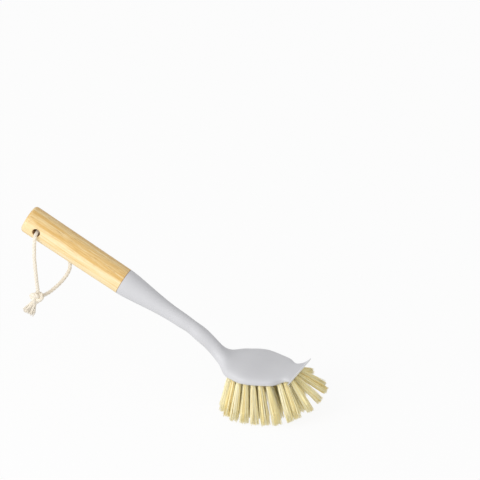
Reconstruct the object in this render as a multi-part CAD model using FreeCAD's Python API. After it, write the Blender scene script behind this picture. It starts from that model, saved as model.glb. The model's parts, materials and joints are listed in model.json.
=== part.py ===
import FreeCAD, Part
import math
import os

from FreeCAD import Placement, Rotation, Vector

# Dish brush: bamboo handle, moulded neck and head with a scraping lip, fibre tufts, hanging cord.
# Millimetres. +X points forward to the scraping lip, +Y across the head, +Z up.
# The brush stands on its tuft tips with the head level. The origin is on the ground under the
# middle of the brush. While it is built, the scraping edge's middle is at the origin instead.

# Handle
HANDLE_LENGTH = 97.4
HANDLE_BUTT_DIA = 24.6
HANDLE_SEAM_DIA = 23.2
HANDLE_RISE = 26.0
BUTT_ROUNDING = 3.2
SEAM_EASING = 0.35
CORD_HOLE_DIA = 6.4
CORD_HOLE_FROM_BUTT = 13.8
CORD_HOLE_EASING = 1.0

# Tang of the moulded body and its socket in the handle
TANG_DIA = 11.0
TANG_LENGTH = 42.0
TANG_TIP_CHAMFER = 1.5
TANG_BARB_HEIGHT = 0.5
TANG_BARB_LENGTH = 5.0
TANG_BARB_PITCH = 9.0
TANG_BARBS = 3
TANG_CLEARANCE = 0.05
SOCKET_END_ROOM = 1.0

# Neck
NECK_DIA = 12.4
NECK_TAPER_LENGTH = 66.0
NECK_TAPER_START = 1.5
NECK_TAPER_END = 2.6
NECK_STRAIGHT = 62.5
UPPER_BEND_RADIUS = 110.0
LOWER_BEND_RADIUS = 30.0
LOWER_BEND_RISE = 44.0

# Head
HEAD_FROM_EDGE = 55.0
HEAD_TOP_BELOW_EDGE = 0.9
HEAD_THICKNESS = 8.0
HEAD_TOP_HALF = 4.2
CROWN_HEIGHT = 2.2
CROWN_FROM_EDGE = 53.0
HEAD_WIDTH = 57.0
WIDEST_FROM_EDGE = 41.0
REAR_SWELL = 25.0
WAIST_WIDTH = 30.0
WAIST_FROM_EDGE = 8.0
HEAD_FULLNESS = 1.9
HEAD_SQUARENESS = 4.6
HEAD_TOP_SQUARENESS = 2.9
NECK_LINE_BELOW_TOP = 3.0
NECK_SQUARENESS = 2.0
SECTION_POINTS = 28
THINNING_FROM_EDGE = 16.0
THINNING_POWER = 1.5
# Shares of the lower bend, and shares of the way there from the neck's width to the head's
SHOULDER = ((0.94, 0.01), (0.72, 0.12), (0.5, 0.34), (0.27, 0.735))
SHOULDER_POWER = 1.5
# Shares of the length at which the neck, the upper bend, the head and the lip have an outline
NECK_OUTLINES = (0.0, 0.12, 0.25, 0.4, 0.56, 0.75, 1.0)
UPPER_BEND_OUTLINES = (0.35, 0.7)
HEAD_OUTLINES = (0.0, 0.25, 0.5, 0.7, 0.86)
LIP_OUTLINES = (0.1, 0.4, 0.65, 0.83, 0.95, 1.0)

# Scraping lip
LIP_WIDTH = 51.0
LIP_THICKNESS = 2.2

# Tufts
TUFT_ROOT_DIA = 3.8
TUFT_TIP_DIA = 6.6
TUFT_LENGTH = 34.0
HOLE_ROOF = 3.8
TUFT_STRAIGHT = 4.0
TUFT_TIP_CHAMFER = 0.5
TUFT_CLEARANCE = 0.05
TUFT_ROW_PITCH = 8.0
# Rows from the rim inwards, with the pitch of the tufts along each
TUFT_ROWS = (("outer", 6.3), ("inner", 7.6), ("middle", 7.6))
RIM_INSET = 4.2
RING_FRONT_FROM_EDGE = 5.6
RING_PAST_HEAD = 4.5
RING_CLEAR_OF_FRONT = 17.0
RING_STEPS = 720
TRIM_BELOW_EDGE = 39.6
SIDE_LEAN = 20.0
REAR_LEAN = -11.0
FORE_LEAN = 24.0
# Front tufts: distance from the edge, place across, forward lean, sideways lean and length
FRONT_TUFTS = (
    (5.6, 0.0, 51.0, 0.0, 31.5),
    (6.0, 6.2, 56.0, 24.0, 30.5),
    (6.0, -6.2, 42.0, -14.0, 32.5),
    (8.0, 11.6, 47.0, 40.0, 30.5),
    (8.0, -11.6, 30.0, -20.0, 32.5),
    (13.0, 13.2, 30.0, 62.0, 30.0),
    (12.0, -14.6, 27.0, -20.0, 33.0),
)

# Depth of a tuft's root in the head, and the rear end of the outer ring
TUFT_ROOT_DEPTH = HEAD_THICKNESS - HOLE_ROOF
RING_REAR_FROM_EDGE = HEAD_FROM_EDGE + RING_PAST_HEAD

# Flat wire anchors
ANCHOR_BITE = 0.25
ANCHOR_HEIGHT = 1.6
ANCHOR_THICKNESS = 0.4
ANCHOR_ABOVE_ROOT = 0.7
ANCHOR_CLEARANCE = 0.03

# Hanging cord, with its points measured from the middle of the cord hole
CORD_DIA = 3.3
CORD_POINTS = (
    (0.9, -10.4, -57.4),
    (0.6, -12.0, -46.0),
    (0.1, -14.1, -33.5),
    (-0.6, -15.0, -21.0),
    (-0.5, -14.8, -9.4),
    (0.0, -14.4, -0.8),
    (0.4, 0.0, -0.4),
    (0.0, 14.4, -0.8),
    (1.8, 15.9, -8.6),
    (6.4, 19.0, -20.0),
    (12.6, 21.8, -32.0),
    (17.6, 22.8, -44.6),
    (15.2, 18.0, -53.4),
    (9.6, 8.6, -60.4),
    (5.0, -1.2, -63.4),
    (2.0, -6.2, -63.4),
)
ARC_SHARE = 0.45
KNOT_CENTRE = (-0.2, -9.5, -62.7)
KNOT_DIA = 13.2
KNOT_HEIGHT = 11.4
KNOT_ROUNDING = 4.6
CORD_END_POINTS = (
    (-10.8, -10.6, -77.0),
    (-4.6, -9.4, -79.4),
)
CORD_END_DIA = 4.6
CORD_END_START = 3.0
CORD_FIT = 0.05


def signed_power(value, power):
    """Power that keeps the sign, which turns a circle into a rounded box outline."""
    return math.copysign(abs(value) ** power, value)


def oval(share, fullness):
    """Height of an oval of unit size at a share of its half length."""
    return max(0.0, 1 - share**fullness) ** (1 / fullness)


def section(centre, rise, half_width, above, below, top_squareness, squareness):
    """Closed outline of the neck or head, square to its centre line."""
    up = Vector(math.sin(rise), 0, math.cos(rise))
    points = []
    for step in range(SECTION_POINTS):
        turn = 2 * math.pi * step / SECTION_POINTS
        reach, fullness = (above, top_squareness) if math.sin(turn) > 0 else (below, squareness)
        across = half_width * signed_power(math.cos(turn), 2 / fullness)
        height = reach * signed_power(math.sin(turn), 2 / fullness)
        points.append(centre + Vector(0, across, 0) + up * height)
    curve = Part.BSplineCurve()
    curve.interpolate(Points=points, PeriodicFlag=True)
    return Part.Wire([curve.toShape()])


def head_half_width(x):
    """Half the head's width: an oval that flares into the scraping lip."""
    widest = -WIDEST_FROM_EDGE
    waist = -WAIST_FROM_EDGE
    if x <= widest:
        return HEAD_WIDTH / 2 * oval((widest - x) / REAR_SWELL, 2)
    if x <= waist:
        front_swell = (waist - widest) / oval(WAIST_WIDTH / HEAD_WIDTH, HEAD_FULLNESS)
        return HEAD_WIDTH / 2 * oval((x - widest) / front_swell, HEAD_FULLNESS)
    flare = 1 - oval((x - waist) / WAIST_FROM_EDGE, 2)
    return WAIST_WIDTH / 2 + (LIP_WIDTH - WAIST_WIDTH) / 2 * flare


def head_heights(x):
    """Middle height, height above it and depth below it at x on the head."""
    thin = max(0.0, 1 + x / THINNING_FROM_EDGE) ** THINNING_POWER
    back = min(1.0, max(0.0, -x - THINNING_FROM_EDGE) / (CROWN_FROM_EDGE - THINNING_FROM_EDGE))
    crown = CROWN_HEIGHT * back**2 * (3 - 2 * back)
    top = crown - HEAD_TOP_BELOW_EDGE * (1 - thin)
    above = crown + HEAD_TOP_HALF + (LIP_THICKNESS / 2 - HEAD_TOP_HALF) * thin
    head_below = HEAD_THICKNESS - HEAD_TOP_HALF
    below = head_below + (LIP_THICKNESS / 2 - head_below) * thin
    return top - above, above, below


def underside(x, y):
    """Height of the head's underside at a point in plan."""
    middle, above, below = head_heights(x)
    share = min(1.0, abs(y) / head_half_width(x))
    into_bend = max(0.0, -HEAD_FROM_EDGE - x)
    lift = LOWER_BEND_RADIUS * (1 - oval(into_bend / LOWER_BEND_RADIUS, 2))
    return middle + lift - below * oval(share, HEAD_SQUARENESS)


def neck_radius(from_seam):
    """Neck radius at a distance from the seam, tapering down from the handle."""
    share = min(1.0, from_seam / NECK_TAPER_LENGTH)
    left = (1 - share**NECK_TAPER_START) ** NECK_TAPER_END
    return NECK_DIA / 2 + (HANDLE_SEAM_DIA - NECK_DIA) / 2 * left


def neck_layout():
    """Centre points of the two bends' ends and of the seam, from the head backwards."""
    rise = math.radians(HANDLE_RISE)
    low = math.radians(LOWER_BEND_RISE)
    start = Vector(-HEAD_FROM_EDGE, 0, -HEAD_TOP_BELOW_EDGE - NECK_LINE_BELOW_TOP)
    low_end = start + Vector(-math.sin(low), 0, 1 - math.cos(low)) * LOWER_BEND_RADIUS
    turn_x = math.sin(low) - math.sin(rise)
    turn_z = math.cos(rise) - math.cos(low)
    up_end = low_end + Vector(-turn_x, 0, turn_z) * UPPER_BEND_RADIUS
    seam = up_end + handle_direction() * NECK_STRAIGHT
    return start, low_end, up_end, seam


def handle_direction():
    """Unit vector along the handle, from the seam to the butt."""
    rise = math.radians(HANDLE_RISE)
    return Vector(-math.cos(rise), 0, math.sin(rise))


def along_handle(shape):
    """Place a shape that was built along +Z at the seam, along the handle."""
    seam = neck_layout()[3]
    turned = shape.copy()
    turned.Placement = Placement(seam, Rotation(Vector(0, 0, 1), handle_direction()))
    return turned


def turned_solid(profile):
    """Solid of revolution about +Z from points given as radius and height."""
    points = [Vector(radius, 0, height) for radius, height in profile]
    face = Part.Face(Part.makePolygon(points + points[:1]))
    return face.revolve(Vector(0, 0, 0), Vector(0, 0, 1), 360)


def tang_profile():
    """Tang outline with its barbs, as radius and height above the seam."""
    radius = TANG_DIA / 2
    profile = [(0.0, 0.0), (radius, 0.0)]
    for barb in range(TANG_BARBS):
        foot = TANG_BARB_PITCH * (barb + 1)
        profile.append((radius, foot))
        profile.append((radius + TANG_BARB_HEIGHT, foot))
        profile.append((radius, foot + TANG_BARB_LENGTH))
    profile.append((radius, TANG_LENGTH - TANG_TIP_CHAMFER))
    profile.append((radius - TANG_TIP_CHAMFER, TANG_LENGTH))
    profile.append((0.0, TANG_LENGTH))
    return profile


def cord_hole_centre():
    """Middle of the cord hole, on the handle's axis."""
    seam = neck_layout()[3]
    return seam + handle_direction() * (HANDLE_LENGTH - CORD_HOLE_FROM_BUTT)


def handle_radius(from_seam):
    """Handle radius at a distance from the seam."""
    share = from_seam / HANDLE_LENGTH
    return (HANDLE_SEAM_DIA + (HANDLE_BUTT_DIA - HANDLE_SEAM_DIA) * share) / 2


def cord_hole_cutter():
    """Cross hole with its mouths eased where the cord bends over them."""
    bore = CORD_HOLE_DIA / 2
    mouth = handle_radius(HANDLE_LENGTH - CORD_HOLE_FROM_BUTT)
    outside = HANDLE_BUTT_DIA
    ease = CORD_HOLE_EASING
    cutter = Part.makeCylinder(bore, 2 * outside, Vector(0, -outside, 0), Vector(0, 1, 0))
    for side in (1, -1):
        inner = Vector(bore, side * (mouth - ease), 0)
        outer = Vector(bore + ease, side * mouth, 0)
        bulge = ease * (1 - math.sqrt(0.5))
        middle = Vector(bore + bulge, side * (mouth - bulge), 0)
        clear = Vector(bore + ease, side * outside, 0)
        axis_out = Vector(0, side * outside, 0)
        axis_in = Vector(0, side * (mouth - ease), 0)
        edges = [Part.Arc(inner, middle, outer).toShape()]
        corners = [outer, clear, axis_out, axis_in, inner]
        for first, second in zip(corners, corners[1:]):
            edges.append(Part.LineSegment(first, second).toShape())
        face = Part.Face(Part.Wire(edges))
        cutter = cutter.fuse(face.revolve(Vector(0, 0, 0), Vector(0, 1, 0), 360))
    cutter.translate(cord_hole_centre())
    return cutter


def bamboo_handle():
    """Turned handle with a rounded butt, a blind socket for the tang and the cord hole."""
    profile = [
        (0.0, 0.0),
        (HANDLE_SEAM_DIA / 2 - SEAM_EASING, 0.0),
        (handle_radius(SEAM_EASING), SEAM_EASING),
        (HANDLE_BUTT_DIA / 2, HANDLE_LENGTH),
        (0.0, HANDLE_LENGTH),
    ]
    blank = turned_solid(profile)
    rims = [edge for edge in blank.Edges if edge.BoundBox.ZMin > HANDLE_LENGTH - SEAM_EASING]
    rims = [edge for edge in rims if isinstance(edge.Curve, Part.Circle)]
    blank = blank.makeFillet(BUTT_ROUNDING, rims)
    socket_radius = TANG_DIA / 2 + TANG_BARB_HEIGHT + TANG_CLEARANCE
    socket = Part.makeCylinder(socket_radius, TANG_LENGTH + SOCKET_END_ROOM)
    handle = along_handle(blank.cut(socket))
    return handle.cut(cord_hole_cutter())


def body_sections():
    """Outlines from the seam, down the neck and along the head to the scraping edge."""
    start, low_end, up_end, seam = neck_layout()
    rise = math.radians(HANDLE_RISE)
    low = math.radians(LOWER_BEND_RISE)
    round_neck = NECK_SQUARENESS
    outlines = []
    for share in NECK_OUTLINES:
        radius = neck_radius(NECK_STRAIGHT * share)
        centre = seam + (up_end - seam) * share
        outlines.append(section(centre, rise, radius, radius, radius, round_neck, round_neck))
    for share in UPPER_BEND_OUTLINES:
        angle = rise + (low - rise) * share
        turn_x = math.sin(angle) - math.sin(rise)
        turn_z = math.cos(angle) - math.cos(rise)
        centre = up_end + Vector(turn_x, 0, turn_z) * UPPER_BEND_RADIUS
        radius = NECK_DIA / 2
        outlines.append(section(centre, angle, radius, radius, radius, round_neck, round_neck))
    middle, above, below = head_heights(-HEAD_FROM_EDGE)
    widening = head_half_width(-HEAD_FROM_EDGE) - NECK_DIA / 2
    for share, widened in SHOULDER:
        angle = low * share
        reach = Vector(-math.sin(angle), 0, 1 - math.cos(angle))
        flat = 1 - share**SHOULDER_POWER
        up = Vector(math.sin(angle), 0, math.cos(angle))
        centre = start + reach * LOWER_BEND_RADIUS + up * (middle - start.z) * flat
        half_width = NECK_DIA / 2 + widening * widened
        top = NECK_DIA / 2 + (above - NECK_DIA / 2) * flat
        bottom = NECK_DIA / 2 + (below - NECK_DIA / 2) * flat
        top_square = round_neck + (HEAD_TOP_SQUARENESS - round_neck) * flat**2
        square = round_neck + (HEAD_SQUARENESS - round_neck) * flat**2
        outlines.append(section(centre, angle, half_width, top, bottom, top_square, square))
    front = []
    for share in HEAD_OUTLINES:
        front.append(-HEAD_FROM_EDGE + (HEAD_FROM_EDGE - WAIST_FROM_EDGE) * share)
    for share in LIP_OUTLINES:
        front.append(-WAIST_FROM_EDGE * (1 - share))
    for x in front:
        middle, above, below = head_heights(x)
        centre = Vector(x, 0, middle)
        squareness = (HEAD_TOP_SQUARENESS, HEAD_SQUARENESS)
        outlines.append(section(centre, 0, head_half_width(x), above, below, *squareness))
    return outlines


def leaning(forward, sideways):
    """Unit vector down along a tuft that leans forward and sideways by these angles."""
    lean = Vector(math.tan(math.radians(forward)), math.tan(math.radians(sideways)), -1)
    return lean.normalize()


def ring_lean(x, y):
    """Lean of a tuft in one of the rings, outwards from the middle of the head."""
    ahead = (x + RING_REAR_FROM_EDGE) / (RING_REAR_FROM_EDGE - RING_CLEAR_OF_FRONT)
    forward = REAR_LEAN + (FORE_LEAN - REAR_LEAN) * ahead
    sideways = SIDE_LEAN * y / (HEAD_WIDTH / 2 - RIM_INSET)
    return leaning(forward, sideways)


def ring_points(inset, pitch):
    """Evenly spaced points in plan round one ring of tufts, from its front point."""
    front = WIDEST_FROM_EDGE - RING_FRONT_FROM_EDGE - inset
    rear = max(0.0, RING_REAR_FROM_EDGE - WIDEST_FROM_EDGE - inset)
    half_width = HEAD_WIDTH / 2 - RIM_INSET - inset
    if half_width < pitch / 2:
        return []
    line = []
    for step in range(RING_STEPS + 1):
        turn = 2 * math.pi * step / RING_STEPS
        reach = front if math.cos(turn) > 0 else rear
        x = reach * math.cos(turn) - WIDEST_FROM_EDGE
        line.append(Vector(x, half_width * math.sin(turn), 0))
    lengths = [0.0]
    for first, second in zip(line, line[1:]):
        lengths.append(lengths[-1] + first.distanceToPoint(second))
    count = int(lengths[-1] / pitch)
    points = []
    for index in range(count):
        wanted = lengths[-1] * index / count
        place = next(step for step, length in enumerate(lengths) if length >= wanted)
        points.append(line[place])
    return points


def tuft_places():
    """Name, root point, lean and full length of each tuft."""
    places = []
    for index, (from_edge, across, forward, sideways, length) in enumerate(FRONT_TUFTS):
        root = Vector(-from_edge, across, underside(-from_edge, across))
        places.append((f"front_tuft_{index + 1:02d}", root, leaning(forward, sideways), length))
    for row, (name, pitch) in enumerate(TUFT_ROWS):
        ring = ring_points(row * TUFT_ROW_PITCH, pitch)
        if row == 0:
            ring = [point for point in ring if point.x < -RING_CLEAR_OF_FRONT]
        for index, point in enumerate(ring):
            root = Vector(point.x, point.y, underside(point.x, point.y))
            lean = ring_lean(point.x, point.y)
            places.append((f"{name}_tuft_{index + 1:02d}", root, lean, TUFT_LENGTH))
    return places


def put_on(shape, root, lean):
    """Copy of a shape that was built along +Z, placed at a tuft's root along its lean."""
    copy = shape.copy()
    copy.Placement = Placement(root, Rotation(Vector(0, 0, 1), lean))
    return copy


def anchor_blank(clearance):
    """One flat wire anchor across the foot of a tuft, built along +Z with the rim at zero."""
    width = TUFT_ROOT_DIA + 2 * ANCHOR_BITE + 2 * clearance
    thickness = ANCHOR_THICKNESS + 2 * clearance
    height = ANCHOR_HEIGHT + 2 * clearance
    foot = ANCHOR_ABOVE_ROOT - TUFT_ROOT_DEPTH - clearance
    corner = Vector(-width / 2, -thickness / 2, foot)
    return Part.makeBox(width, thickness, height, corner)


def tuft_blank(length):
    """One tuft along +Z: a straight root in its hole and a flared bundle to the trimmed tip."""
    root = TUFT_ROOT_DIA / 2
    tip = TUFT_TIP_DIA / 2
    profile = [
        (0.0, -TUFT_ROOT_DEPTH),
        (root, -TUFT_ROOT_DEPTH),
        (root, TUFT_STRAIGHT),
        (tip, length - TUFT_TIP_CHAMFER),
        (tip - TUFT_TIP_CHAMFER, length),
        (0.0, length),
    ]
    return turned_solid(profile).cut(anchor_blank(ANCHOR_CLEARANCE))


def tuft_hole():
    """Blind hole for one tuft, with the groove that its anchor cuts on the way in."""
    radius = TUFT_ROOT_DIA / 2 + TUFT_CLEARANCE
    depth = TUFT_ROOT_DEPTH + TUFT_CLEARANCE
    hole = Part.makeCylinder(radius, depth + TUFT_STRAIGHT, Vector(0, 0, -depth))
    return hole.fuse(anchor_blank(ANCHOR_CLEARANCE))


def brush_body(places):
    """Moulded neck, head, lip and tang, with a blind hole for each tuft."""
    skin = Part.makeLoft(body_sections(), True, False)
    tang = along_handle(turned_solid(tang_profile()))
    body = skin.fuse(tang)
    hole = tuft_hole()
    return body.cut([put_on(hole, root, lean) for name, root, lean, length in places])


def trimmed(root, lean, length):
    """Tuft length outside the head, cut back where it would pass the trimmed level."""
    return min(length, (root.z + TRIM_BELOW_EDGE) / -lean.z)


def cord_corners(points):
    """Tangent points and arc middle at each inner point of a route, with the arc's radius."""
    corners = []
    for before, here, after in zip(points, points[1:], points[2:]):
        back = before - here
        ahead = after - here
        turn = math.pi - back.getAngle(ahead)
        cut = ARC_SHARE * min(back.Length, ahead.Length)
        radius = cut / math.tan(turn / 2)
        start = here + back.normalize() * cut
        end = here + ahead.normalize() * cut
        inward = (start + end) * 0.5 - here
        depth = radius / math.cos(turn / 2) - radius
        corners.append((start, here + inward.normalize() * depth, end, radius))
    return corners


def cord_tube(points, diameter):
    """Round tube along straight runs joined by tangent arcs."""
    corners = cord_corners(points)
    edges = []
    last = points[0]
    for start, middle, end, radius in corners:
        edges.append(Part.LineSegment(last, start).toShape())
        edges.append(Part.Arc(start, middle, end).toShape())
        last = end
    edges.append(Part.LineSegment(last, points[-1]).toShape())
    path = Part.Wire(edges)
    circle = Part.Circle(points[0], points[1] - points[0], diameter / 2)
    tube = path.makePipeShell([Part.Wire([circle.toShape()])], True, False)
    ideal = math.pi * diameter**2 / 4 * path.Length
    print("tube radii", [round(corner[3], 1) for corner in corners])
    print("tube diameter", diameter, "length", round(path.Length, 2))
    print("tube volume", round(tube.Volume, 2), "section times length", round(ideal, 2))
    return tube


def cord_end(centre, tip):
    """One frayed cord end below the knot, a little wider at its cut end."""
    direction = tip - centre
    length = direction.Length - CORD_END_START
    direction.normalize()
    start = centre + direction * CORD_END_START
    return Part.makeCone(CORD_DIA / 2, CORD_END_DIA / 2, length, start, direction)


def hanging_loop():
    """Cord, knot and cord ends, in the cord's own nodes."""
    hole = cord_hole_centre()
    points = [hole + Vector(*point) for point in CORD_POINTS]
    centre = hole + Vector(*KNOT_CENTRE)
    cord = cord_tube(points, CORD_DIA)
    fit = cord_tube(points, CORD_DIA + 2 * CORD_FIT)
    foot = centre - Vector(0, 0, KNOT_HEIGHT / 2)
    knot = Part.makeCylinder(KNOT_DIA / 2, KNOT_HEIGHT, foot)
    rims = [edge for edge in knot.Edges if isinstance(edge.Curve, Part.Circle)]
    knot = knot.makeFillet(KNOT_ROUNDING, rims)
    first, second = [cord_end(centre, hole + Vector(*tip)) for tip in CORD_END_POINTS]
    second = second.cut(first)
    knot = knot.cut([fit, first, second])
    return {"hanging_cord": cord, "cord_knot": knot, "cord_end_left": first, "cord_end_right": second}


def build():
    """Build every piece, stand the brush on the ground and write each piece to its file."""
    places = tuft_places()
    pieces = {"bamboo_handle": bamboo_handle(), "brush_body": brush_body(places)}
    anchor = anchor_blank(0.0)
    anchors = [put_on(anchor, root, lean) for name, root, lean, length in places]
    pieces["tuft_anchors"] = Part.makeCompound(anchors)
    for name, root, lean, length in places:
        pieces[name] = put_on(tuft_blank(trimmed(root, lean, length)), root, lean)
    boxes = [piece.optimalBoundingBox(False, False) for piece in pieces.values()]
    rear = min(box.XMin for box in boxes)
    front = max(box.XMax for box in boxes)
    ground = min(box.ZMin for box in boxes)
    pieces.update(hanging_loop())
    to_ground = Vector(-(rear + front) / 2, 0, -ground)
    os.makedirs("parts", exist_ok=True)
    for name, piece in pieces.items():
        piece.translate(to_ground)
        piece.exportStep(f"parts/{name}.step")
    butt = neck_layout()[3] + handle_direction() * HANDLE_LENGTH
    print("shift", to_ground)
    print("cord hole", cord_hole_centre() + to_ground)
    print("butt centre", butt + to_ground, "pointing", handle_direction())
    print("pieces", len(pieces))


build()
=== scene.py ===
import json
import logging
import math
from dataclasses import dataclass, replace
from enum import Enum
from typing import Any

import bpy
import numpy as np
from mathutils import Euler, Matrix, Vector


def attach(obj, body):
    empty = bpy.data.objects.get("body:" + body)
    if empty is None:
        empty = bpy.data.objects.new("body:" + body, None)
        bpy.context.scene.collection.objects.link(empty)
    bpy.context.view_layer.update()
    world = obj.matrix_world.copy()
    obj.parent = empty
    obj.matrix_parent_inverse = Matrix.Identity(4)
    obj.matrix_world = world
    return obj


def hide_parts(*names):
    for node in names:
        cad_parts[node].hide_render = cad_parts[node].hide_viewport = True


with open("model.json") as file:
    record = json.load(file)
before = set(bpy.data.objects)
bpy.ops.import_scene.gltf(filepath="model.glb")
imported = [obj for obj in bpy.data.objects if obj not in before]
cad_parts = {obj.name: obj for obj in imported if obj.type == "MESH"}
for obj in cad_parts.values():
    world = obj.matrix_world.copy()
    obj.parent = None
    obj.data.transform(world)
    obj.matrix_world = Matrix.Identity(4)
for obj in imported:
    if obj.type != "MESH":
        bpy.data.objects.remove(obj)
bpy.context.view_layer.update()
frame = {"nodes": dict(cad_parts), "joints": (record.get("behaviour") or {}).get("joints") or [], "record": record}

# Looks of the dish brush, in metres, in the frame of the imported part.
# +X points forward to the scraping lip, +Y across the head, +Z up.

MM = 0.001
# Middle of the scraping edge, which the camera and the plastic are placed by
SCRAPING_EDGE_MM = (115.7046, 0, 40.7831)
# Turn from one stalk or yarn to the next that spreads them evenly over a round
EVEN_TURN = math.pi * (3 - math.sqrt(5))
LOG = logging.getLogger("dish_brush")
NodeTree = bpy.types.NodeTree
Socket = bpy.types.NodeSocket


class Slot(Enum):
    """Material slots of the record."""

    BAMBOO = "bamboo"
    PLASTIC = "grey_plastic"
    FIBRE = "plant_fibre"
    CORD = "cotton_cord"


class Body(Enum):
    """Bodies that a piece can ride on."""

    BRUSH = "brush"
    LOOP = "hanging_loop"


def linear(code: str) -> tuple[float, float, float, float]:
    """Turn an sRGB hex colour into linear values.

    Args:
        code: Six hex digits.

    Returns:
        Linear red, green and blue with full alpha.
    """
    parts = [int(code[i : i + 2], 16) / 255 for i in (0, 2, 4)]
    red, green, blue = [v / 12.92 if v <= 0.04045 else ((v + 0.055) / 1.055) ** 2.4 for v in parts]
    return red, green, blue, 1.0


def add_node(
    tree: NodeTree,
    kind: str,
    values: dict[Any, Any] | None = None,
    links: dict[Any, Socket] | None = None,
    **settings: Any,
) -> bpy.types.Node:
    """Add a node with its settings, its socket values and its links.

    Args:
        tree: Tree that takes the node.
        kind: Blender's name of the node type.
        values: Socket name or number to its value.
        links: Socket name or number to the socket that feeds it.
        settings: The node's own properties.

    Returns:
        The new node.
    """
    node = tree.nodes.new(kind)
    for name, value in settings.items():
        setattr(node, name, value)
    for name, value in (values or {}).items():
        node.inputs[name].default_value = value
    for name, source in (links or {}).items():
        tree.links.new(source, node.inputs[name])
    return node


def set_ramp(node: bpy.types.Node, places: tuple[float, ...], codes: tuple[str, ...]) -> None:
    """Give a colour ramp its stops.

    Args:
        node: The ramp.
        places: Place of each stop, in order.
        codes: Hex colour of each stop.
    """
    elements = node.color_ramp.elements
    while len(elements) < len(places):
        elements.new(1.0)
    for element, place, code in zip(elements, places, codes):
        element.position = place
        element.color = linear(code)


def add_relief(
    tree: NodeTree, shader: bpy.types.Node, height: Socket, strength: float, depth_mm: float
) -> None:
    """Give a shader a fine relief.

    Args:
        tree: Tree that takes the node.
        shader: The shader.
        height: Height of the relief, from 0 to 1.
        strength: How strongly it shows.
        depth_mm: Its depth.
    """
    settings = {"Strength": strength, "Distance": depth_mm * MM}
    bump = add_node(tree, "ShaderNodeBump", settings, {"Height": height})
    tree.links.new(bump.outputs["Normal"], shader.inputs["Normal"])


def new_material(name: str) -> tuple[bpy.types.Material, NodeTree, bpy.types.Node]:
    """Make an empty node material with one shader.

    Args:
        name: Common name of the real material.

    Returns:
        The material, its tree and its shader.
    """
    material = bpy.data.materials.new(name)
    material.use_nodes = True
    tree = material.node_tree
    tree.nodes.clear()
    shader = add_node(tree, "ShaderNodeBsdfPrincipled")
    add_node(tree, "ShaderNodeOutputMaterial", links={"Surface": shader.outputs["BSDF"]})
    return material, tree, shader


def grey(value: float) -> tuple[float, float, float, float]:
    """A grey of one linear value."""
    return value, value, value, 1.0


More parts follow.
